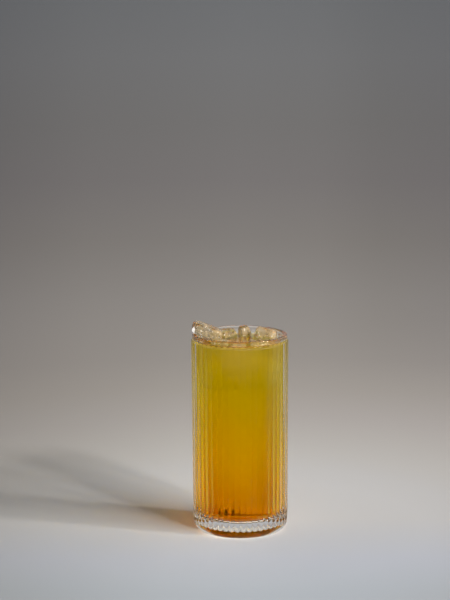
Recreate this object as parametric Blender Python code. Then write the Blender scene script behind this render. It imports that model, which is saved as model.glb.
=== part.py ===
"""Mango iced tea in a ribbed highball glass, filled almost to the brim, with ice at the top.

Metres, +Z up. The glass stands on z = 0 with its middle on the Z axis, and it is seen from -Y.
The largest piece of ice leans on the rim at -X.
"""

import math

import bmesh
import bpy
from mathutils import Euler, Vector, noise

# Driving sizes of the glass
GLASS_HEIGHT = 0.140
RIM_RADIUS = 0.0341  # over the rib crests, at the height of the rim
FOOT_RADIUS = 0.0334  # over the rib crests, at the height of the table
RIM_BORE = 0.0302  # inside radius at the height of the rim
FLOOR_BORE = 0.0289  # inside radius at the height of the table
BASE_THICKNESS = 0.0103
FOOT_ROUND = 0.0064  # outside corner of the foot
BORE_ROUND = 0.0075  # inside corner, between the floor and the wall
LIP_ROUND = 0.0011
KICK_RADIUS = 0.0254  # hollow under the foot, inside the ring that it stands on
KICK_FLANK = 0.0046  # width of the steep rounded flank at the edge of the hollow
KICK_FLANK_HEIGHT = 0.0042
KICK_HEIGHT = 0.0046  # in the middle, where the hollow is a flat dome

# Ribs: convex flutes side by side, that swell out of a plain wall
RIB_COUNT = 50
RIB_DEPTH = 0.0008
RIB_TOP_GAP = 0.0022  # plain band between the lip and the ribs
RIB_FADE = 0.003  # length over which the ribs rise to their full depth below that band
RIB_FOOT = 0.0052  # height at which the ribs begin over the smooth heel
RIB_FOOT_FADE = 0.0068  # length over which they rise there
HEEL_FILL = 0.6  # how much wider the heel is than the valleys, as a share of the rib depth
RIB_SIDES = 6  # flat facets that draw one rib

# Contents
DRINK_DEPTH_BELOW_RIM = 0.0050
GAP = 0.0003  # between neighbouring solids
ICE_SQUARENESS = 5.0  # exponent of the rounded block: 2 is an egg, 20 a sharp box
ICE_MELT = 0.06  # how far the melted surface wanders, as a share of the half size
ICE_CUTS = 4  # cuts across each face of a block

PLAIN_SIDES = 2 * RIB_COUNT
FOOT_STEPS = 7
BORE_STEPS = 6
RISE_STEPS = 4  # rings over which the ribs rise out of the heel
DRINK_LEVEL = GLASS_HEIGHT - DRINK_DEPTH_BELOW_RIM

# name, size, centre and turn in degrees of the ice that breaks the surface, then its melt pattern
ICE = (
    ("ice_left_slab", (0.0215, 0.0165, 0.0087), (-0.0226, 0.0005, 0.1418), (0, 21, 4), 1),
    ("ice_back_left", (0.0130, 0.0130, 0.0160), (-0.0085, 0.0160, 0.1324), (4, -5, 8), 2),
    ("ice_back_right", (0.0070, 0.0080, 0.0110), (0.0033, 0.0175, 0.1368), (8, -6, 20), 3),
    ("ice_right", (0.0145, 0.0125, 0.0140), (0.0180, 0.0085, 0.1355), (-6, 12, -18), 4),
    ("ice_front_left", (0.0145, 0.0120, 0.0140), (-0.0130, -0.0165, 0.1318), (-9, 5, -24), 5),
    ("ice_front_right", (0.0140, 0.0115, 0.0130), (0.0120, -0.0185, 0.1316), (10, -6, 22), 6),
)


def clear_scene():
    for obj in list(bpy.data.objects):
        bpy.data.objects.remove(obj)


def material(name, colour, roughness, see_through=0.0):
    made = bpy.data.materials.new(name)
    made.use_nodes = True
    shader = made.node_tree.nodes["Principled BSDF"]
    shader.inputs["Base Color"].default_value = (*colour, 1.0)
    shader.inputs["Roughness"].default_value = roughness
    shader.inputs["Metallic"].default_value = 0.0
    shader.inputs["Transmission Weight"].default_value = see_through
    return made


def finished(bm, name, look):
    """The object that holds this mesh, shaded smooth but for its true edges."""
    bmesh.ops.recalc_face_normals(bm, faces=bm.faces[:])
    mesh = bpy.data.meshes.new(name)
    bm.to_mesh(mesh)
    bm.free()
    mesh.shade_smooth()
    mesh.set_sharp_from_angle(angle=math.radians(40))
    mesh.materials.append(look)
    obj = bpy.data.objects.new(name, mesh)
    bpy.context.scene.collection.objects.link(obj)
    return obj


def wall_radius(z):
    """Outside radius of the plain wall, in the valleys between the ribs."""
    share = z / GLASS_HEIGHT
    return FOOT_RADIUS + (RIM_RADIUS - FOOT_RADIUS) * share - RIB_DEPTH


def bore_radius(z):
    share = z / GLASS_HEIGHT
    return FLOOR_BORE + (RIM_BORE - FLOOR_BORE) * share


def arc(centre, radius, start, end, steps):
    """Points (r, z) along an arc, angles in degrees from the outward direction."""
    points = []
    for step in range(steps + 1):
        angle = math.radians(start + (end - start) * step / steps)
        points.append((centre[0] + radius * math.cos(angle), centre[1] + radius * math.sin(angle)))
    return points


def ring(bm, radius, z, ribs=0.0, ribbed=False):
    """A closed loop of vertices round the axis; ribs is the share of their full depth."""
    sides = RIB_COUNT * RIB_SIDES if ribbed else PLAIN_SIDES
    loop = []
    for side in range(sides):
        turn = side / sides
        across = (turn * RIB_COUNT + 0.5) % 1.0 - 0.5  # place within a rib, 0 on its crest
        out = radius + ribs * RIB_DEPTH * (1 - 4 * across * across)
        angle = math.tau * turn
        loop.append(bm.verts.new((out * math.cos(angle), out * math.sin(angle), z)))
    return loop


def stitch(bm, first, second):
    """Joins two rings, where one has the same number of sides or a whole multiple of it."""
    few, many = sorted((first, second), key=len)
    ratio = len(many) // len(few)
    for side, corner in enumerate(few):
        following = few[(side + 1) % len(few)]
        start = side * ratio
        span = [many[(start + step) % len(many)] for step in range(ratio + 1)]
        half = (ratio + 1) // 2
        if ratio == 1:
            bm.faces.new((corner, following, span[1], span[0]))
            continue
        for step in range(ratio):
            tip = corner if step < half else following
            bm.faces.new((tip, span[step + 1], span[step]))
        bm.faces.new((corner, following, span[half]))


def cap(bm, loop, z):
    centre = bm.verts.new((0, 0, z))
    for side, corner in enumerate(loop):
        bm.faces.new((centre, corner, loop[(side + 1) % len(loop)]))


def bore_profile(inset, top):
    """Points (r, z) of the inside from its floor up to the height top, set in by a gap."""
    floor = BASE_THICKNESS + inset
    round_radius = BORE_ROUND - inset
    corner_z = floor + round_radius
    corner_r = bore_radius(corner_z) - inset - round_radius
    corner = arc((corner_r, corner_z), round_radius, -90, 0, BORE_STEPS)
    return [(corner_r / 2, floor), *corner, (bore_radius(top) - inset, top)]


def kick_profile():
    """Points (r, z) of the hollow underside from near its middle out to the ring of the foot."""
    flank_start = KICK_RADIUS - KICK_FLANK
    dome = KICK_HEIGHT - KICK_FLANK_HEIGHT
    points = []
    for share in (0.4, 0.75):
        points.append((share * flank_start, KICK_HEIGHT - dome * share * share))
    for angle in (90, 65, 40, 15):
        across = math.cos(math.radians(angle))
        up = math.sin(math.radians(angle))
        points.append((flank_start + KICK_FLANK * across, KICK_FLANK_HEIGHT * up))
    points.append((KICK_RADIUS, 0.0))
    return points


def glass(look):
    """The tumbler, from the middle of its underside out, up, over the lip and down inside."""
    bm = bmesh.new()
    rib_top = GLASS_HEIGHT - RIB_TOP_GAP
    heel = HEEL_FILL * RIB_DEPTH
    foot_centre = (wall_radius(FOOT_ROUND) + heel - FOOT_ROUND, FOOT_ROUND)
    foot = arc(foot_centre, FOOT_ROUND, -90, 0, FOOT_STEPS)
    loops = [ring(bm, r, z) for r, z in kick_profile() + foot]
    for step in range(1, RISE_STEPS + 1):
        share = step / RISE_STEPS
        risen = share * share * (3 - 2 * share)
        z = RIB_FOOT + RIB_FOOT_FADE * share
        loops.append(ring(bm, wall_radius(z) + heel * (1 - risen), z, risen, ribbed=True))
    full_z = rib_top - RIB_FADE
    loops.append(ring(bm, wall_radius(full_z), full_z, 1.0, ribbed=True))
    loops.append(ring(bm, wall_radius(rib_top), rib_top))
    lip_z = GLASS_HEIGHT - LIP_ROUND
    outer_r = wall_radius(lip_z)
    inner_r = bore_radius(lip_z)
    for r, z in arc((outer_r - LIP_ROUND, lip_z), LIP_ROUND, 0, 90, 2):
        loops.append(ring(bm, r, z))
    for r, z in arc((inner_r + LIP_ROUND, lip_z), LIP_ROUND, 90, 180, 2)[1:]:
        loops.append(ring(bm, r, z))
    for r, z in reversed(bore_profile(0.0, lip_z)[:-1]):
        loops.append(ring(bm, r, z))
    for lower, upper in zip(loops, loops[1:]):
        stitch(bm, lower, upper)
    cap(bm, loops[0], KICK_HEIGHT)
    cap(bm, loops[-1], BASE_THICKNESS)
    return finished(bm, "glass", look)


def ice_block(name, size, centre, turn, melt, look, grow=0.0):
    """A melted block: a subdivided cube drawn to a rounded box, dented by smooth noise."""
    bm = bmesh.new()
    bmesh.ops.create_cube(bm, size=2.0)
    bmesh.ops.subdivide_edges(bm, edges=bm.edges[:], cuts=ICE_CUTS, use_grid_fill=True)
    half = Vector([side / 2 + grow for side in size])
    tilt = Euler([math.radians(angle) for angle in turn]).to_matrix()
    for vert in bm.verts:
        length = sum(abs(part) ** ICE_SQUARENESS for part in vert.co) ** (1 / ICE_SQUARENESS)
        unit = vert.co / length
        wander = 1 + ICE_MELT * noise.noise(unit * 1.3 + Vector((7.1 * melt, 0, 0)))
        local = Vector([part * extent for part, extent in zip(unit * wander, half)])
        vert.co = tilt @ local + Vector(centre)
    return finished(bm, name, look)


def drink(look, ice_look):
    """The tea inside the glass up to its level, cut round the ice that stands in it."""
    bm = bmesh.new()
    profile = bore_profile(GAP, DRINK_LEVEL)
    loops = [ring(bm, r, z) for r, z in profile]
    for lower, upper in zip(loops, loops[1:]):
        stitch(bm, lower, upper)
    cap(bm, loops[0], profile[0][1])
    cap(bm, loops[-1], DRINK_LEVEL)
    made = finished(bm, "drink", look)
    for name, size, centre, turn, melt in ICE:
        cutter = ice_block(name + "_cutter", size, centre, turn, melt, ice_look, grow=GAP)
        cutter.hide_render = True
        cutter.display_type = "WIRE"
        cut = made.modifiers.new(name, "BOOLEAN")
        cut.operation = "DIFFERENCE"
        cut.object = cutter
    return made


clear_scene()
clear_glass = material("clear glass", (0.93, 0.95, 0.95), 0.03, see_through=1.0)
mango_tea = material("mango tea", (0.72, 0.30, 0.01), 0.1, see_through=0.5)
ice_look = material("ice", (0.90, 0.92, 0.90), 0.08, see_through=0.9)
glass(clear_glass)
drink(mango_tea, ice_look)
for name, size, centre, turn, melt in ICE:
    ice_block(name, size, centre, turn, melt, ice_look)
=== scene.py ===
"""Mango iced tea in a ribbed highball glass: the looks, the light and the camera.

Metres, +Z up. The glass stands on z = 0 with its middle on the Z axis, and it is seen from -Y.
"""

import math

import bmesh
import bpy
from mathutils import Euler, Matrix, Vector, noise


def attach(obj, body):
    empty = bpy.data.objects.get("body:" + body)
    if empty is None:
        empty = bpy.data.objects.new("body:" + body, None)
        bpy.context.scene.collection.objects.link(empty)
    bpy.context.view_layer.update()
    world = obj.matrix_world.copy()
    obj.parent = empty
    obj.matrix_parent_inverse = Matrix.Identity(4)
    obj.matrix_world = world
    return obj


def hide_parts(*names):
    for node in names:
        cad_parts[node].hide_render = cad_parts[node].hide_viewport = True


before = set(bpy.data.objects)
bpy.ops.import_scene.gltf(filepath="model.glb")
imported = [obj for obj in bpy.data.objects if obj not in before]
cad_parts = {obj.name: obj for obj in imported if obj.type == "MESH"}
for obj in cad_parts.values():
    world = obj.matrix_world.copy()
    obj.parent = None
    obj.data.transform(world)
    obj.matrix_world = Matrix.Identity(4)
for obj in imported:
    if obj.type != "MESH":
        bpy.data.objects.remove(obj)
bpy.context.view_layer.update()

# Sizes of the glass, the same as those of its solid
GLASS_HEIGHT = 0.140
RIM_RADIUS = 0.0341
FOOT_RADIUS = 0.0334
RIM_BORE = 0.0302
FLOOR_BORE = 0.0289
BASE_THICKNESS = 0.0103
FOOT_ROUND = 0.0064
BORE_ROUND = 0.0075
LIP_ROUND = 0.0011
KICK_RADIUS = 0.0254
KICK_FLANK = 0.0046
KICK_FLANK_HEIGHT = 0.0042
KICK_HEIGHT = 0.0046
RIB_COUNT = 50
RIB_DEPTH = 0.0008
RIB_TOP_GAP = 0.0022
RIB_FADE = 0.003
RIB_FACETS = 16
HEEL_FILL = 0.6  # share of the rib depth by which the plain foot is wider than the valleys
RIB_FOOT = 0.0052  # height at which the ribs begin over the smooth heel
RIB_FOOT_FADE = 0.0068  # length over which they rise there

# How finely the profiles are drawn
WALL_ROWS = (0.04, 0.075, 0.11)
DOME_STEPS = 9
FLANK_STEPS = 12
FOOT_STEPS = 18
RIB_RISE_STEPS = 10
RIB_FADE_STEPS = 8
LIP_STEPS = 6
BORE_STEPS = 22
MENISCUS_STEPS = 7
CORE_FLOOR_STEPS = 14
CORE_TOP_STEPS = 5
ROUND_SIDES = 200  # round the pieces that have no ribs
CREASE = 28  # an edge bent by more degrees than this is shaded sharp
WELD = 1e-6  # points as near as this are joined where a turned piece closes

# The tea
DRINK_LEVEL = GLASS_HEIGHT - 0.0050
WALL_BITE = 0.00015  # how far the tea reaches into the wall, so that no air shows
ICE_BITE = 0.00008  # how far it reaches into the ice
TOUCH = 0.00005  # a face of the glass as near the tea as this is wet
MENISCUS = 0.0012  # height of the edge that is drawn up at the wall
MENISCUS_REACH = 0.0035  # how far in from the wall it is drawn
MENISCUS_FALL = 0.0009  # within this distance it falls to about a third
HAZE_INSET = 0.0004  # the cloudy part starts this far inside the tea
HAZE_TOP = DRINK_LEVEL - 0.0008
CORE_RADIUS = 0.0213  # where the tea is deep enough to show its full colour
CORE_ROUND = 0.006
CORE_TOP = DRINK_LEVEL - 0.0012
CORE_TOP_ROUND = 0.002

# The haze: the shares of it that are lit pulp and pale mist, which also carry painted side light
# and painted shade
PULP = 0.064
PULP_PAINTED_LIGHT_LEFT = 0.017
PULP_PAINTED_SHADE_RIGHT = 0.042
MIST_LEFT = 0.14
MIST_PAINTED_SHADE_RIGHT = 0.11
MIST_ON_TOP = 0.24
WISP = 0.16
WISP_PLACE = (-0.022, -0.019, 0.110)
WISP_REACH = 0.013

# Ice that breaks the surface: name, size, centre, turn in degrees, melt pattern
ICE_SQUARENESS = 5.0  # exponent of the rounded block: 2 is an egg, 20 a sharp box
ICE_CUTS = 22
ICE_MELT = 0.06  # broad dents, as a share of the half size
ICE_PITS = 0.02  # small dents
ICE_SHRINK = 0.008  # keeps the dented block as large as the plain one
ICE = (
    ("ice_left_slab", (0.0215, 0.0165, 0.0087), (-0.0226, 0.0005, 0.1418), (0, 21, 4), 1),
    ("ice_back_left", (0.0130, 0.0130, 0.0160), (-0.0085, 0.0160, 0.1324), (4, -5, 8), 2),
    ("ice_back_right", (0.0070, 0.0080, 0.0110), (0.0033, 0.0175, 0.1368), (8, -6, 20), 3),
    ("ice_right", (0.0145, 0.0125, 0.0140), (0.0180, 0.0085, 0.1355), (-6, 12, -18), 4),
    ("ice_front_left", (0.0145, 0.0120, 0.0140), (-0.0130, -0.0165, 0.1318), (-9, 5, -24), 5),
    ("ice_front_right", (0.0140, 0.0115, 0.0130), (0.0120, -0.0185, 0.1316), (10, -6, 22), 6),
)
# Ice wholly sunk in the tea, under the pieces above
SUNK_ICE = (
    ("sunk_ice_left", (0.0180, 0.0160, 0.0170), (-0.0175, -0.0070, 0.1120), (12, 18, 20), 7),
    ("sunk_ice_right", (0.0170, 0.0170, 0.0180), (0.0170, -0.0065, 0.1140), (-8, 14, -26), 8),
    ("sunk_ice_middle", (0.0160, 0.0150, 0.0160), (-0.0010, 0.0020, 0.1200), (24, 8, 38), 9),
    ("sunk_ice_back", (0.0180, 0.0160, 0.0160), (0.0020, 0.0190, 0.1080), (-14, 22, 10), 10),
)
# Painted light on the ice: a painted highlight at the slab's left end and painted shade on the
# piece at the right front; place and reach
PAINTED_HIGHLIGHT_END = ((-0.0322, -0.0050, 0.1435), 0.0046)
PAINTED_SHADE_FRONT = ((0.014, -0.023, 0.139), 0.013)
# Painted glints: small glowing white specks on the ice above the tea
PAINTED_GLINTS = 0.45  # how bright the small glints are

# Flecks on the floor of the glass: place, half size, turn in degrees
FLECKS = (
    ((-0.0088, 0.0005), (0.0031, 0.0014, 0.0026), 8),
    ((-0.0118, 0.0050), (0.0012, 0.0012, 0.0012), -10),
    ((-0.0056, 0.0060), (0.0010, 0.0016, 0.0009), 22),
    ((-0.0150, 0.0020), (0.0007, 0.0010, 0.0007), -24),
)
FLECK_ROUGHNESS = 0.35  # dents, as a share of the half size
FLECK_CLEAR = 0.0003  # space under the flecks

# Colour of the paper by the distance from the glass: its pale tone with a painted falloff of the
# light into grey
PAPER_WITH_PAINTED_FALLOFF = (
    (0.0, (0.600, 0.600, 0.600)),
    (0.13, (0.618, 0.618, 0.618)),
    (0.17, (0.600, 0.598, 0.594)),
    (0.22, (0.572, 0.560, 0.540)),
    (0.285, (0.524, 0.505, 0.482)),
    (0.35, (0.480, 0.455, 0.436)),
    (0.475, (0.415, 0.389, 0.364)),
    (0.62, (0.363, 0.341, 0.322)),
    (1.0, (0.313, 0.297, 0.284)),
    (1.55, (0.251, 0.238, 0.228)),
    (2.45, (0.210, 0.201, 0.202)),
    (4.0, (0.192, 0.190, 0.191)),
    (9.0, (0.185, 0.190, 0.198)),
    (60.0, (0.165, 0.175, 0.187)),
)
PAPER_REACH = 60.0
PAPER_CELLS = 24
# Its painted tint of cool sky light, from the front to beside the glass
TINT_REACH = 0.25
PAPER_PAINTED_SKY_TINT = (
    (-0.25, (0.83, 0.90, 1.01)),
    (-0.14, (0.85, 0.925, 1.01)),
    (-0.075, (0.91, 0.96, 1.06)),
    (0.02, (1.0, 1.0, 1.0)),
)
# Its painted side light, from the dim left to the window at the right, near the glass and far from
# it
SIDES_NEAR = 0.25
SIDES_FAR = 0.90
SIDES_FROM = 1.3  # the sides spread from a point this far in front of the glass
PAINTED_SIDE_LIGHT_NEAR = (
    (-0.40, (0.62, 0.62, 0.61)),
    (-0.13, (0.74, 0.74, 0.735)),
    (-0.07, (0.87, 0.87, 0.865)),
    (-0.035, (0.96, 0.96, 0.955)),
    (0.0, (1.0, 1.0, 1.0)),
    (0.105, (0.98, 0.98, 0.99)),
    (0.16, (1.10, 1.10, 1.11)),
    (0.28, (1.60, 1.60, 1.60)),
)
PAINTED_SIDE_LIGHT_FAR = (
    (-0.40, (0.70, 0.70, 0.70)),
    (-0.13, (0.76, 0.76, 0.77)),
    (-0.08, (0.90, 0.90, 0.90)),
    (0.0, (1.0, 1.0, 1.0)),
    (0.042, (0.985, 0.985, 0.985)),
    (0.075, (0.90, 0.90, 0.90)),
    (0.11, (0.86, 0.86, 0.875)),
    (0.28, (1.20, 1.20, 1.20)),
)

# Colour of the studio's walls by the sine of the height over the horizon
SKY_BELOW = 0.2  # how far below the horizon the colours reach
SKY = (
    (-0.15, (0.225, 0.215, 0.205)),
    (-0.09, (0.182, 0.180, 0.180)),
    (0.0, (0.145, 0.157, 0.165)),
    (0.03, (0.16, 0.17, 0.18)),
    (0.14, (0.49, 0.49, 0.50)),
    (0.40, (0.38, 0.38, 0.39)),
    (0.58, (0.11, 0.11, 0.12)),
    (1.0, (0.07, 0.07, 0.08)),
)

# The window: how high it stands and how wide a pane looks, in degrees
WINDOW_HEIGHT = 28.5
PANE_SPREAD = 6.0
# The bearing of each pane in degrees, and its strength
WINDOW_PANES = ((-19.0, 1.42), (-27.5, 0.68), (-36.0, 0.72), (-44.5, 0.72), (-53.0, 1.24))
WINDOW_TINT = (1.0, 0.965, 0.92)

# The camera: its focal length and the picture's height in pixels, its place, its turn in degrees
FOCAL_PIXELS = 1886
PICTURE_PIXELS = 600
SENSOR_HEIGHT = 24.0
CAMERA_PLACE = (0.0, -1.297, 0.380)
CAMERA_DOWN = 9.46
CAMERA_LEFT = 0.447
CAMERA_ROLL = -0.33

# The photograph's deepest tone, in linear light, that the picture shows as black
BLACK = 0.014
CLEAR_BOUNCES = 28  # how many clear surfaces light is followed through
MIRROR_BOUNCES = 8
BRIGHTEST_BOUNCE = 3.0  # brighter light than this leaves lone specks once it has bounced


class Field:
    """A node's output that takes part in arithmetic: each operation adds its Math node."""

    def __init__(self, graph, socket):
        self.graph = graph
        self.socket = socket

    def join(self, operation, *terms):
        return self.graph.add("ShaderNodeMath", {"operation": operation}, dict(enumerate(terms)))

    def __add__(self, other):
        return self.join("ADD", self, other)

    def __sub__(self, other):
        return self.join("SUBTRACT", self, other)

    def __rsub__(self, other):
        return self.join("SUBTRACT", other, self)

    def __mul__(self, other):
        return self.join("MULTIPLY", self, other)

    def __truediv__(self, other):
        return self.join("DIVIDE", self, other)

    def __pow__(self, other):
        return self.join("POWER", self, other)

    def __mod__(self, other):
        return self.join("FLOORED_MODULO", self, other)

    __radd__ = __add__
    __rmul__ = __mul__

    def clamped(self):
        return self.join("MINIMUM", self.join("MAXIMUM", self, 0.0), 1.0)

    def ramp(self, start, end):
        """0 at start and 1 at end, eased at both."""
        step = ((self - start) / (end - start)).clamped()
        return step * step * (3.0 - 2.0 * step)


class Graph:
    """A node tree that is written as Python expressions."""

    def __init__(self, tree):
        self.tree = tree

    def node(self, kind, settings=None, sockets=None):
        """Adds a node, sets its settings, then gives its sockets their values or links."""
        node = self.tree.nodes.new(kind)
        for name, value in (settings or {}).items():
            if name == "stops":
                stops = node.color_ramp.elements
                while len(stops) < len(value):
                    stops.new(1.0)
                for stop, (place, colour) in zip(stops, value):
                    stop.position = place
                    stop.color = (*colour, 1.0)
            else:
                setattr(node, name, value)
        for key, value in (sockets or {}).items():
            if isinstance(value, Field):
                self.tree.links.new(value.socket, node.inputs[key])
            else:
                node.inputs[key].default_value = value
        return node

    def out(self, node, key=0):
        return Field(self, node.outputs[key])

    def add(self, kind, settings=None, sockets=None, key=0):
        return self.out(self.node(kind, settings, sockets), key)


class Finish(Graph):
    """The node tree of one material."""

    def __init__(self, name):
        self.material = bpy.data.materials.new(name)
        self.material.use_nodes = True
        super().__init__(self.material.node_tree)
        self.tree.nodes.clear()
        self.end = self.node("ShaderNodeOutputMaterial")
        self.place = self.add("ShaderNodeTexCoord", key="Object")

    def height(self):
        return self.add("ShaderNodeSeparateXYZ", None, {0: self.place}, "Z")

    def across(self):
        return self.add("ShaderNodeSeparateXYZ", None, {0: self.place}, "X")

    def cloud(self, size, detail=3.0, stretch=None):
        """Soft noise between 0 and 1 whose blots are about size metres across."""
        where = self.place
        if stretch:
            where = self.add("ShaderNodeMapping", None, {"Vector": where, "Scale": stretch})
        sockets = {"Vector": where, "Scale": 1 / size, "Detail": detail, "Roughness": 0.5}
        return self.add("ShaderNodeTexNoise", {"noise_dimensions": "3D"}, sockets)

    def spot(self, place, reach):
        """1 at this place, eased to 0 at reach metres from it."""
        settings = {"operation": "DISTANCE"}
        away = self.add("ShaderNodeVectorMath", settings, {0: self.place, 1: place}, "Value")
        return 1.0 - away.ramp(0.0, reach)

    def blend(self, share, first, second):
        """One colour goes over into another as share goes from 0 to 1."""
        return self.add("ShaderNodeMix", {"data_type": "RGBA"}, {0: share, 6: first, 7: second}, 2)

    def tinted(self, colour, tint):
        settings = {"data_type": "RGBA", "blend_type": "MULTIPLY"}
        return self.add("ShaderNodeMix", settings, {0: 1.0, 6: colour, 7: tint}, 2)

    def relief(self, height, strength, depth):
        sockets = {"Height": height, "Strength": strength, "Distance": depth}
        return self.add("ShaderNodeBump", None, sockets)

    def principled(self, **sockets):
        named = {name.replace("_", " "): value for name, value in sockets.items()}
        return self.add("ShaderNodeBsdfPrincipled", None, named)

    def done(self, surface, absorbs=None, per_metre=0.0):
        self.tree.links.new(surface.socket, self.end.inputs["Surface"])
        if absorbs:
            sockets = {"Color": (*absorbs, 1.0), "Density": per_metre}
            inside = self.add("ShaderNodeVolumeAbsorption", None, sockets)
            self.tree.links.new(inside.socket, self.end.inputs["Volume"])
        return self.material


def pressed_glass(name, glint):
    """Pressed soda-lime glass: clear, with faint waves and a trace of green."""
    look = Finish(name)
    waves = look.cloud(0.012, detail=2.0, stretch=(1.0, 1.0, 0.25))
    surface = look.principled(
        Base_Color=look.blend(waves, (0.988, 0.996, 0.991, 1.0), (0.996, 0.998, 0.996, 1.0)),
        Roughness=0.01 + 0.02 * look.cloud(0.02),
        IOR=1.5,
        Specular_Tint=(glint, glint, glint, 1.0),
        Transmission_Weight=1.0,
        Normal=look.relief(waves, 0.03, 0.0004),
    )
    return look.done(surface)


def mango_tea():
    """The clear liquid: it bends light and takes out the blue, more so the longer the way."""
    look = Finish("mango iced tea")
    streaks = look.cloud(0.014, detail=3.0, stretch=(1.0, 1.0, 0.5))
    surface = look.principled(
        Base_Color=look.blend(streaks, (1.0, 0.985, 0.95, 1.0), (0.985, 0.97, 0.93, 1.0)),
        Roughness=0.01 + 0.03 * streaks,
        IOR=1.34,
        Specular_Tint=(0.1, 0.1, 0.1, 1.0),
        Transmission_Weight=1.0,
    )
    return look.done(surface, absorbs=(0.995, 0.93, 0.05), per_metre=60.0)


def drink_colour(look):
    """Golden among the ice, amber below it, and orange where the mango settles."""
    drift = (look.cloud(0.016, detail=4.0, stretch=(1.0, 1.0, 0.6)) - 0.5) * 0.022
    height = look.height() + drift
    golden = (1.0, 0.93, 0.12, 1.0)
    amber = (0.98, 0.70, 0.004, 1.0)
    orange = (0.80, 0.385, 0.002, 1.0)
    upper = look.blend(height.ramp(0.050, 0.120), amber, golden)
    return look.blend(height.ramp(0.010, 0.068), orange, upper)


def mango_haze():
    """Mango pulp afloat in the tea, thin but for wisps and the top, with painted light and shade
    in its share of lit pulp.
    """
    look = Finish("mango haze")
    drink = drink_colour(look)
    height, across = look.height(), look.across()
    warm, light = (1.0, 0.90, 0.50, 1.0), (1.0, 0.97, 0.62, 1.0)
    thin = look.principled(
        Base_Color=look.blend(height.ramp(0.020, 0.120), warm, light),
        Roughness=0.3 + 0.2 * look.cloud(0.004),
        IOR=1.0,
        Transmission_Weight=1.0,
    )
    pulp = look.principled(
        Base_Color=drink,
        Roughness=0.5,
        IOR=1.0,
        Transmission_Weight=0.5,
    )
    pale = look.principled(
        Base_Color=look.blend(look.cloud(0.007), (0.70, 0.57, 0.38, 1.0), (0.58, 0.48, 0.34, 1.0)),
        Roughness=0.5,
        IOR=1.0,
        Transmission_Weight=0.5,
    )
    # Painted shade: less lit pulp among the ice and near the floor
    below_ice, over_floor = height.ramp(0.125, 0.080), height.ramp(0.000, 0.050)
    painted_shading = (below_ice * 0.5 + 0.5) * (over_floor * 0.35 + 0.65)
    # Painted side light: more lit pulp at the left and less at the right
    left, right = across.ramp(-0.006, -0.026), across.ramp(0.000, 0.024)
    pulp_share_with_painted_light = (left * PULP_PAINTED_LIGHT_LEFT - right * PULP_PAINTED_SHADE_RIGHT + PULP) * painted_shading
    # Painted shade: less pale mist at the right, where the window falls on it
    mist = MIST_LEFT - MIST_PAINTED_SHADE_RIGHT * across.ramp(-0.014, 0.020)
    mist = height.ramp(0.104, 0.134) * mist
    near_top = height.ramp(HAZE_TOP - 0.0005, HAZE_TOP - 0.0001)
    mist = mist + near_top * look.cloud(0.004).ramp(0.25, 0.65) * MIST_ON_TOP
    wisp = look.spot(WISP_PLACE, WISP_REACH) * look.cloud(0.006).ramp(0.35, 0.65)
    mist = mist + wisp * WISP
    clouded = look.add("ShaderNodeMixShader", None, {0: pulp_share_with_painted_light, 1: thin, 2: pulp})
    both = look.add("ShaderNodeMixShader", None, {0: mist, 1: clouded, 2: pale})
    return look.done(both)


def mango_core():
    """The middle of the drink, where the light passes through most of the mango."""
    look = Finish("mango core")
    floor = look.height().ramp(0.0118, 0.0109)
    surface = look.principled(
        Base_Color=look.blend(floor, drink_colour(look), (1.0, 0.80, 0.10, 1.0)),
        Roughness=0.2 + 0.2 * look.cloud(0.004),
        IOR=1.0,
        Transmission_Weight=1.0,
    )
    return look.done(surface)


def sunk_ice():
    """Ice under the surface, nearly invisible in the tea."""
    look = Finish("sunk ice")
    surface = look.principled(
        Base_Color=(0.99, 0.99, 0.97, 1.0),
        Roughness=0.2 + 0.2 * look.cloud(0.006),
        IOR=1.02,
        Transmission_Weight=0.975,
    )
    return look.done(surface)


def melting_ice():
    """Clear ice with a wet dimpled skin and frosted patches, with glowing painted glints, a
    glowing painted highlight at one end and painted shade at the right front.
    """
    look = Finish("melting ice")
    dimples = look.cloud(0.0035, detail=2.0)
    above = look.height().ramp(DRINK_LEVEL - 0.0005, DRINK_LEVEL + 0.0015)
    blots = look.cloud(0.0060).ramp(0.38, 0.64)
    # Painted highlights: the slab's end and the glints are made white, frosted and glowing
    painted_highlights = look.spot(*PAINTED_HIGHLIGHT_END).ramp(0.20, 0.55)
    glints = look.cloud(0.0014, detail=1.0).ramp(0.63, 0.71) * above * PAINTED_GLINTS
    painted_highlights = (painted_highlights + glints).clamped()
    tan = look.blend(blots, (0.70, 0.57, 0.38, 1.0), (0.68, 0.52, 0.27, 1.0))
    # Painted shade: the tan darkens on the piece at the right front
    tan = look.blend(look.spot(*PAINTED_SHADE_FRONT), tan, (0.45, 0.33, 0.16, 1.0))
    clear = look.principled(
        Base_Color=look.blend(above, (1.0, 0.95, 0.80, 1.0), (1.0, 0.93, 0.76, 1.0)),
        Roughness=0.02 + 0.06 * look.cloud(0.005),
        IOR=1.31,
        Transmission_Weight=1.0,
        Normal=look.relief(dimples, 0.5, 0.0006),
    )
    # The frosted skin glows where the highlights are painted
    frosty = look.principled(
        Base_Color=look.blend(painted_highlights, tan, (1.0, 0.99, 0.97, 1.0)),
        Emission_Color=look.blend(painted_highlights, (0.0, 0.0, 0.0, 1.0), (0.62, 0.60, 0.58, 1.0)),
        Emission_Strength=1.0,
        Roughness=0.12 + 0.25 * blots,
        IOR=1.31,
        Transmission_Weight=0.55,
        Normal=look.relief(look.cloud(0.0018, detail=2.0), 0.8, 0.0006),
    )
    patches = look.cloud(0.0055).ramp(0.32, 0.58)
    share = (patches * above * 0.85 + painted_highlights).clamped()
    both = look.add("ShaderNodeMixShader", None, {0: share, 1: clear, 2: frosty})
    return look.done(both)


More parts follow.
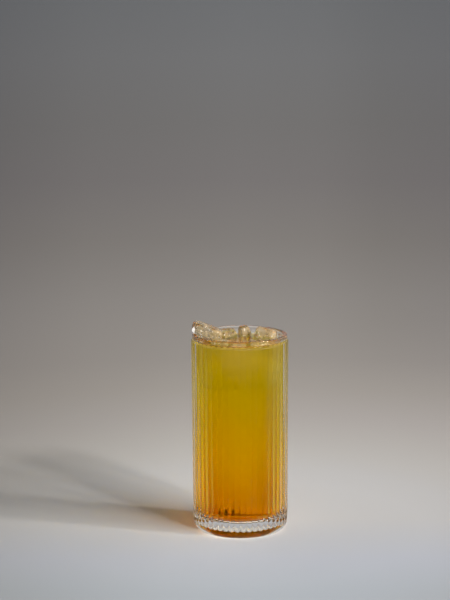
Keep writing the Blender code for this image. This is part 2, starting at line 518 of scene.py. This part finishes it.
def ice_under_tea():
    """The faces of that ice under the surface: smooth, and hardly seen against the tea."""
    look = Finish("ice under the tea")
    surface = look.principled(
        Base_Color=look.blend(look.cloud(0.004), (1.0, 1.0, 0.98, 1.0), (0.99, 0.98, 0.95, 1.0)),
        Roughness=0.01 + 0.03 * look.cloud(0.006),
        IOR=1.31,
        Specular_Tint=(0.1, 0.1, 0.1, 1.0),
        Transmission_Weight=1.0,
    )
    return look.done(surface)


def fruit_fleck():
    """Fruit soaked dark."""
    look = Finish("soaked fruit fleck")
    mottled = look.cloud(0.0006, detail=4.0)
    surface = look.principled(
        Base_Color=look.blend(mottled, (0.018, 0.006, 0.002, 1.0), (0.06, 0.020, 0.006, 1.0)),
        Roughness=0.45 + 0.2 * mottled,
        Normal=look.relief(mottled, 0.7, 0.0003),
    )
    return look.done(surface)


def studio_paper():
    """Pale paper with a fine tooth, with painted falloff into grey away from the glass, painted
    cool sky light at the front and painted side light.
    """
    look = Finish("pale paper with painted falloff")
    tooth = look.cloud(0.0016, detail=6.0)
    split = look.node("ShaderNodeSeparateXYZ", None, {0: look.place})
    across, along = look.out(split, "X"), look.out(split, "Y")
    away = (across * across + along * along) ** 0.5
    # Painted falloff of the light into grey away from the glass
    stops = [(reach / (reach + 1.0), tone) for reach, tone in PAPER_WITH_PAINTED_FALLOFF]
    shade = look.add("ShaderNodeValToRGB", {"stops": stops}, {"Fac": away / (away + 1.0)})
    # Painted cool sky light at the front
    stops = [((place + TINT_REACH) / (2 * TINT_REACH), tone) for place, tone in PAPER_PAINTED_SKY_TINT]
    forward = (along + TINT_REACH) / (2 * TINT_REACH)
    tint = look.add("ShaderNodeValToRGB", {"stops": stops}, {"Fac": forward})
    # Painted side light: dim at the left and bright towards the window at the right
    bearing = across / (away + SIDES_FROM) + 0.5
    sides = []
    for table in (PAINTED_SIDE_LIGHT_NEAR, PAINTED_SIDE_LIGHT_FAR):
        stops = [(place + 0.5, tone) for place, tone in table]
        sides.append(look.add("ShaderNodeValToRGB", {"stops": stops}, {"Fac": bearing}))
    painted_side_light = look.blend(away.ramp(SIDES_NEAR, SIDES_FAR), *sides)
    # The paper's colour carries the painted falloff, the painted sky tint and the painted side
    # light
    surface = look.principled(
        Base_Color=look.tinted(look.tinted(shade, tint), painted_side_light),
        Roughness=0.75 + 0.1 * tooth,
        Specular_IOR_Level=0.2,
        Normal=look.relief(tooth, 0.15, 0.0002),
    )
    return look.done(surface)


def wall_radius(z):
    """Outside radius of the plain wall, in the valleys between the ribs."""
    share = z / GLASS_HEIGHT
    return FOOT_RADIUS + (RIM_RADIUS - FOOT_RADIUS) * share - RIB_DEPTH


def bore_radius(z):
    """Inside radius of the wall."""
    share = z / GLASS_HEIGHT
    return FLOOR_BORE + (RIM_BORE - FLOOR_BORE) * share


def arc(centre, radius, start, end, steps):
    """Points (r, z) along an arc, angles in degrees from the outward direction."""
    turns = [math.radians(start + (end - start) * step / steps) for step in range(steps + 1)]
    return [(centre[0] + radius * math.cos(a), centre[1] + radius * math.sin(a)) for a in turns]


def eased(share):
    share = min(max(share, 0.0), 1.0)
    return share * share * (3 - 2 * share)


def kick_profile():
    """Points (r, z, ribs) of the hollow underside, from its middle out to the ring of the foot."""
    flank = KICK_RADIUS - KICK_FLANK
    dome = KICK_HEIGHT - KICK_FLANK_HEIGHT
    points = []
    for step in range(DOME_STEPS):
        share = step / DOME_STEPS
        points.append((share * flank, KICK_HEIGHT - dome * share * share, 0.0))
    for step in range(FLANK_STEPS + 1):
        angle = math.radians(90 - 90 * step / FLANK_STEPS)
        r = flank + KICK_FLANK * math.cos(angle)
        points.append((r, KICK_FLANK_HEIGHT * math.sin(angle), 0.0))
    return points


def bore_profile(grow, top):
    """Points (r, z, ribs) of the inside from the middle of its floor up, grown into the wall."""
    floor = BASE_THICKNESS - grow
    round_radius = BORE_ROUND + grow
    corner_z = floor + round_radius
    corner_r = bore_radius(corner_z) + grow - round_radius
    points = [(0.0, floor), (corner_r / 3, floor), (corner_r * 2 / 3, floor)]
    points += arc((corner_r, corner_z), round_radius, -90, 0, BORE_STEPS)
    middle = (corner_z + top) / 2
    points += [(bore_radius(z) + grow, z) for z in (middle, top)]
    return [(r, z, 0.0) for r, z in points]


def glass_profile():
    """From the middle of the underside out, up the ribbed wall, over the lip and down inside."""
    rib_top = GLASS_HEIGHT - RIB_TOP_GAP
    full_z = rib_top - RIB_FADE
    points = kick_profile()
    heel = HEEL_FILL * RIB_DEPTH
    foot_centre = (wall_radius(FOOT_ROUND) + heel - FOOT_ROUND, FOOT_ROUND)
    for r, z in arc(foot_centre, FOOT_ROUND, -90, 0, FOOT_STEPS):
        ribbed = eased((z - RIB_FOOT) / RIB_FOOT_FADE)
        points.append((r - heel * ribbed, z, ribbed))
    for step in range(1, RIB_RISE_STEPS):
        z = FOOT_ROUND + (RIB_FOOT + RIB_FOOT_FADE - FOOT_ROUND) * step / RIB_RISE_STEPS
        ribbed = eased((z - RIB_FOOT) / RIB_FOOT_FADE)
        points.append((wall_radius(z) + heel * (1 - ribbed), z, ribbed))
    for z in (RIB_FOOT + RIB_FOOT_FADE, *WALL_ROWS):
        points.append((wall_radius(z), z, 1.0))
    for step in range(RIB_FADE_STEPS + 1):
        share = step / RIB_FADE_STEPS
        z = full_z + RIB_FADE * share
        points.append((wall_radius(z), z, 1 - eased(share)))
    lip_z = GLASS_HEIGHT - LIP_ROUND
    outer = wall_radius(lip_z) - LIP_ROUND
    inner = bore_radius(lip_z) + LIP_ROUND
    lip = arc((outer, lip_z), LIP_ROUND, 0, 90, LIP_STEPS)
    lip += arc((inner, lip_z), LIP_ROUND, 90, 180, LIP_STEPS)
    points += [(r, z, 0.0) for r, z in lip]
    points += reversed(bore_profile(0.0, lip_z)[:-1])
    return points


def tea_profile():
    """The inside of the glass, grown into the wall, then the surface with its rim drawn up."""
    edge = bore_radius(DRINK_LEVEL)
    points = bore_profile(WALL_BITE, DRINK_LEVEL + MENISCUS)
    for step in range(MENISCUS_STEPS + 1):
        inward = MENISCUS_REACH * (step / MENISCUS_STEPS) ** 1.5
        rise = MENISCUS * math.exp(-inward / MENISCUS_FALL)
        points.append((edge - inward, DRINK_LEVEL + rise, 0.0))
    points += [(edge * share, DRINK_LEVEL, 0.0) for share in (0.8, 0.6, 0.4, 0.2, 0.0)]
    return points


def haze_profile():
    """Just inside the tea, from the middle of its floor up and across below its surface."""
    edge = bore_radius(HAZE_TOP) - HAZE_INSET
    points = bore_profile(-HAZE_INSET, HAZE_TOP)
    return points + [(edge * share, HAZE_TOP, 0.0) for share in (0.75, 0.5, 0.25, 0.0)]


def core_profile():
    """A rounded column inside the haze, from the middle of its floor up and across its top."""
    floor = BASE_THICKNESS + 2 * HAZE_INSET
    inner = CORE_RADIUS - CORE_ROUND
    corner = (CORE_RADIUS - CORE_TOP_ROUND, CORE_TOP - CORE_TOP_ROUND)
    points = [(0.0, floor), (inner / 2, floor)]
    points += arc((inner, floor + CORE_ROUND), CORE_ROUND, -90, 0, CORE_FLOOR_STEPS)
    points += arc(corner, CORE_TOP_ROUND, 0, 90, CORE_TOP_STEPS)
    points += [(CORE_RADIUS / 2, CORE_TOP), (0.0, CORE_TOP)]
    return [(r, z, 0.0) for r, z in points]


def turned_tree():
    """Turns a profile, a chain of points (r, 0, z), round the Z axis, with ribs round it."""
    tree = bpy.data.node_groups.new("turned with ribs", "GeometryNodeTree")
    panel = tree.interface
    panel.new_socket("Profile", in_out="INPUT", socket_type="NodeSocketGeometry")
    for name, kind in (
        ("Ribs", "NodeSocketInt"),
        ("Facets per Rib", "NodeSocketInt"),
        ("Rib Depth", "NodeSocketFloat"),
        ("Finish", "NodeSocketMaterial"),
    ):
        panel.new_socket(name, in_out="INPUT", socket_type=kind)
    panel.new_socket("Piece", in_out="OUTPUT", socket_type="NodeSocketGeometry")
    graph = Graph(tree)
    given = graph.node("NodeGroupInput")
    profile = graph.out(given, "Profile")
    ribs = graph.out(given, "Ribs")
    facets = graph.out(given, "Facets per Rib")

    rows = graph.add("GeometryNodeAttributeDomainSize", None, {"Geometry": profile})
    sides = ribs * facets
    grid = graph.add(
        "GeometryNodeMeshGrid", None, {"Vertices X": sides + 1, "Vertices Y": rows}, "Mesh"
    )
    index = graph.add("GeometryNodeInputIndex")
    row = index % rows
    column = (index - row) / rows

    place = graph.add("GeometryNodeInputPosition")
    share = graph.add(
        "GeometryNodeInputNamedAttribute", {"data_type": "FLOAT"}, {"Name": "ribs"}, "Attribute"
    )
    at = graph.add(
        "GeometryNodeSampleIndex",
        {"data_type": "FLOAT_VECTOR"},
        {"Geometry": profile, "Value": place, "Index": row},
    )
    ribbed = graph.add(
        "GeometryNodeSampleIndex",
        {"data_type": "FLOAT"},
        {"Geometry": profile, "Value": share, "Index": row},
    )
    split = graph.node("ShaderNodeSeparateXYZ", None, {0: at})
    across = (column / facets + 0.5) % 1.0 - 0.5
    swell = ribbed * graph.out(given, "Rib Depth") * (1.0 - 4.0 * across * across)
    radius = graph.out(split, "X") + swell
    angle = column / sides * math.tau
    x = radius * angle.join("COSINE", angle)
    y = radius * angle.join("SINE", angle)
    moved = graph.add("ShaderNodeCombineXYZ", None, {0: x, 1: y, 2: graph.out(split, "Z")})
    turned = graph.add("GeometryNodeSetPosition", None, {"Geometry": grid, "Position": moved})
    closed = graph.add("GeometryNodeMergeByDistance", None, {"Geometry": turned, "Distance": WELD})
    smooth = graph.add("GeometryNodeSetShadeSmooth", None, {"Geometry": closed})
    real = graph.add("GeometryNodeRealizeInstances", None, {"Geometry": smooth})
    dressed = graph.add(
        "GeometryNodeSetMaterial", None, {"Geometry": real, "Material": graph.out(given, "Finish")}
    )
    end = graph.node("NodeGroupOutput")
    tree.links.new(dressed.socket, end.inputs["Piece"])
    return tree


def plain_mesh(carrier, name, tree, **inputs):
    """Runs a tree on the carrier with these named inputs and keeps the result as a plain mesh."""
    modifier = carrier.modifiers.new("shape", "NODES")
    modifier.node_group = tree
    names = {s.name: s.identifier for s in tree.interface.items_tree if s.in_out == "INPUT"}
    for key, value in inputs.items():
        modifier[names[key.replace("_", " ")]] = value
    bpy.context.scene.collection.objects.link(carrier)
    evaluated = carrier.evaluated_get(bpy.context.evaluated_depsgraph_get())
    mesh = outwards(bpy.data.meshes.new_from_object(evaluated))
    mesh.set_sharp_from_angle(angle=math.radians(CREASE))
    finish = mesh.materials[-1]
    mesh.materials.clear()
    mesh.materials.append(finish)
    mesh.polygons.foreach_set("material_index", [0] * len(mesh.polygons))
    bpy.data.objects.remove(carrier)
    return shown(name, mesh)


def outwards(mesh):
    """Turns the faces to point out of the solid."""
    bm = bmesh.new()
    bm.from_mesh(mesh)
    bmesh.ops.recalc_face_normals(bm, faces=bm.faces[:])
    if bm.calc_volume(signed=True) < 0:
        bmesh.ops.reverse_faces(bm, faces=bm.faces[:])
    bm.to_mesh(mesh)
    bm.free()
    return mesh


def shown(name, mesh):
    obj = bpy.data.objects.new(name, mesh)
    bpy.context.scene.collection.objects.link(obj)
    return obj


def turned(name, profile, finish, ribs=ROUND_SIDES, facets=1, depth=0.0):
    """A piece turned from a profile, with this many ribs or else this many plain sides."""
    mesh = bpy.data.meshes.new(name + " profile")
    chain = [(step, step + 1) for step in range(len(profile) - 1)]
    mesh.from_pydata([(r, 0.0, z) for r, z, _ in profile], chain, [])
    share = mesh.attributes.new("ribs", "FLOAT", "POINT")
    share.data.foreach_set("value", [ribbed for _, _, ribbed in profile])
    carrier = bpy.data.objects.new(name + " profile", mesh)
    return plain_mesh(
        carrier, name, TURNED, Ribs=ribs, Facets_per_Rib=facets, Rib_Depth=depth, Finish=finish
    )


def wet_inside(glass):
    """Gives the faces that the tea touches a finish that hardly mirrors."""
    glass.data.materials.append(pressed_glass("wet inside of the glass", 0.1))
    for face in glass.data.polygons:
        x, y, z = face.center
        inside = math.hypot(x, y) < bore_radius(z) + TOUCH
        wet = inside and BASE_THICKNESS - TOUCH < z < DRINK_LEVEL
        face.material_index = 1 if wet else 0


def ice_mesh(size, centre, turn, melt, grow=0.0):
    """A melted block: a cube drawn to a rounded box, dented by broad and by fine noise."""
    bm = bmesh.new()
    bmesh.ops.create_cube(bm, size=2.0)
    bmesh.ops.subdivide_edges(bm, edges=bm.edges[:], cuts=ICE_CUTS, use_grid_fill=True)
    half = Vector([side / 2 + grow for side in size])
    tilt = Euler([math.radians(angle) for angle in turn]).to_matrix()
    for vert in bm.verts:
        length = sum(abs(part) ** ICE_SQUARENESS for part in vert.co) ** (1 / ICE_SQUARENESS)
        unit = vert.co / length
        wander = 1 + ICE_MELT * noise.noise(unit * 1.3 + Vector((7.1 * melt, 0, 0)))
        wander += ICE_PITS * noise.noise(unit * 4.2 + Vector((0, 5.3 * melt, 0))) - ICE_SHRINK
        local = Vector([part * extent for part, extent in zip(unit * wander, half)])
        vert.co = tilt @ local + Vector(centre)
    bmesh.ops.recalc_face_normals(bm, faces=bm.faces[:])
    mesh = bpy.data.meshes.new("ice")
    bm.to_mesh(mesh)
    bm.free()
    mesh.shade_smooth()
    return mesh


def ice_pieces(rows, finish, sunk_finish):
    """One piece of ice a row, whose faces under the tea's surface have the second finish."""
    pieces = []
    for name, *shape in rows:
        piece = shown(name + "_melting", ice_mesh(*shape))
        piece.data.materials.append(finish)
        piece.data.materials.append(sunk_finish)
        for face in piece.data.polygons:
            face.material_index = 1 if face.center.z < DRINK_LEVEL else 0
        pieces.append(piece)
    return pieces


def cut_round_ice(tea):
    """Leaves a hollow in the tea for each piece of ice, a hair smaller than the ice."""
    for name, *shape in ICE:
        cutter = shown(name + " hollow", ice_mesh(*shape, grow=-ICE_BITE))
        cut = tea.modifiers.new("hollow", "BOOLEAN")
        cut.operation = "DIFFERENCE"
        cut.solver = "EXACT"
        cut.object = cutter
        evaluated = tea.evaluated_get(bpy.context.evaluated_depsgraph_get())
        mesh = bpy.data.meshes.new_from_object(evaluated)
        tea.modifiers.remove(cut)
        tea.data = mesh
        bpy.data.objects.remove(cutter)


def flecks(finish):
    """Soaked scraps lying on the floor of the glass, at the left, where the ribs multiply them."""
    bm = bmesh.new()
    for place, size, turn in FLECKS:
        made = bmesh.ops.create_icosphere(bm, subdivisions=4, radius=1.0)["verts"]
        spin = Matrix.Rotation(math.radians(turn), 3, "Z")
        middle = Vector((*place, BASE_THICKNESS + size[2] * 0.9 + FLECK_CLEAR))
        for vert in made:
            rough = 1 + FLECK_ROUGHNESS * noise.noise(vert.co * 1.6 + Vector((0, 0, turn)))
            vert.co = middle + spin @ Vector([c * s * rough for c, s in zip(vert.co, size)])
    mesh = bpy.data.meshes.new("flecks")
    bm.to_mesh(mesh)
    bm.free()
    mesh.shade_smooth()
    mesh.materials.append(finish)
    return shown("fruit_flecks", mesh)


def paper():
    """A wide flat sheet under the glass."""
    bm = bmesh.new()
    cells = {"x_segments": PAPER_CELLS, "y_segments": PAPER_CELLS}
    bmesh.ops.create_grid(bm, size=PAPER_REACH, **cells)
    mesh = bpy.data.meshes.new("paper")
    bm.to_mesh(mesh)
    bm.free()
    mesh.materials.append(studio_paper())
    return shown("paper_sheet", mesh)


def window_pane(bearing, strength):
    """One pane of a far window at the right: its light is as even as the sun's."""
    light = bpy.data.lights.new("window_pane", "SUN")
    light.energy = strength
    light.angle = math.radians(PANE_SPREAD)
    light.color = WINDOW_TINT
    rise, turn = math.radians(WINDOW_HEIGHT), math.radians(bearing)
    level = math.cos(rise)
    place = Vector((level * math.cos(turn), level * math.sin(turn), math.sin(rise)))
    obj = bpy.data.objects.new("window_pane", light)
    obj.location = place
    obj.rotation_euler = (-place).to_track_quat("-Z", "Y").to_euler()
    bpy.context.scene.collection.objects.link(obj)


def studio_light():
    """The window's panes, and the studio's walls as a sky that grows dark overhead."""
    for bearing, strength in WINDOW_PANES:
        window_pane(bearing, strength)
    world = bpy.data.worlds.new("studio")
    world.use_nodes = True
    sky = Graph(world.node_tree)
    direction = sky.add("ShaderNodeTexCoord", key="Generated")
    upward = sky.add("ShaderNodeSeparateXYZ", None, {0: direction}, "Z")
    stops = [((height + SKY_BELOW) / (1 + SKY_BELOW), colour) for height, colour in SKY]
    risen = (upward + SKY_BELOW) / (1 + SKY_BELOW)
    shade = sky.add("ShaderNodeValToRGB", {"stops": stops}, {"Fac": risen})
    sky.tree.links.new(shade.socket, world.node_tree.nodes["Background"].inputs["Color"])
    bpy.context.scene.world = world


def picture():
    """The picture's tones, and how far light is followed through the glass."""
    scene = bpy.context.scene
    scene.view_settings.view_transform = "Standard"
    scene.view_settings.look = "None"
    scene.view_settings.use_curve_mapping = True
    scene.view_settings.curve_mapping.black_level = (BLACK, BLACK, BLACK)
    scene.view_settings.curve_mapping.update()
    scene.cycles.use_denoising = True
    scene.cycles.max_bounces = CLEAR_BOUNCES
    scene.cycles.transmission_bounces = CLEAR_BOUNCES
    scene.cycles.glossy_bounces = MIRROR_BOUNCES
    scene.cycles.sample_clamp_indirect = BRIGHTEST_BOUNCE


def camera():
    made = bpy.data.cameras.new("camera")
    made.sensor_fit = "VERTICAL"
    made.sensor_height = SENSOR_HEIGHT
    made.lens = SENSOR_HEIGHT * FOCAL_PIXELS / PICTURE_PIXELS
    obj = bpy.data.objects.new("camera", made)
    obj.location = CAMERA_PLACE
    turns = [math.radians(angle) for angle in (90 - CAMERA_DOWN, 0.0, CAMERA_LEFT)]
    roll = Matrix.Rotation(math.radians(CAMERA_ROLL), 3, "Z")
    obj.rotation_euler = (Euler(turns).to_matrix() @ roll).to_euler()
    bpy.context.scene.collection.objects.link(obj)
    bpy.context.scene.camera = obj


TURNED = turned_tree()
clear = pressed_glass("clear pressed glass", 0.45)
glass = turned("ribbed_glass", glass_profile(), clear, RIB_COUNT, RIB_FACETS, RIB_DEPTH)
wet_inside(glass)
glass.visible_shadow = False
tea = turned("mango_tea", tea_profile(), mango_tea())
cut_round_ice(tea)
tea.visible_shadow = False
haze = turned("mango_haze", haze_profile(), mango_haze())
core = turned("mango_core", core_profile(), mango_core())
core.visible_shadow = False
floating = ice_pieces(ICE, melting_ice(), ice_under_tea())
under = sunk_ice()
sunk = ice_pieces(SUNK_ICE, under, under)
scraps = flecks(fruit_fleck())

for piece in (glass, tea, haze, core, scraps, *floating, *sunk):
    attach(piece, "root")
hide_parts("glass")
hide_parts("drink")
for piece, (name, *_) in zip(floating, ICE):
    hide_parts(name)

paper()
studio_light()
picture()
camera()
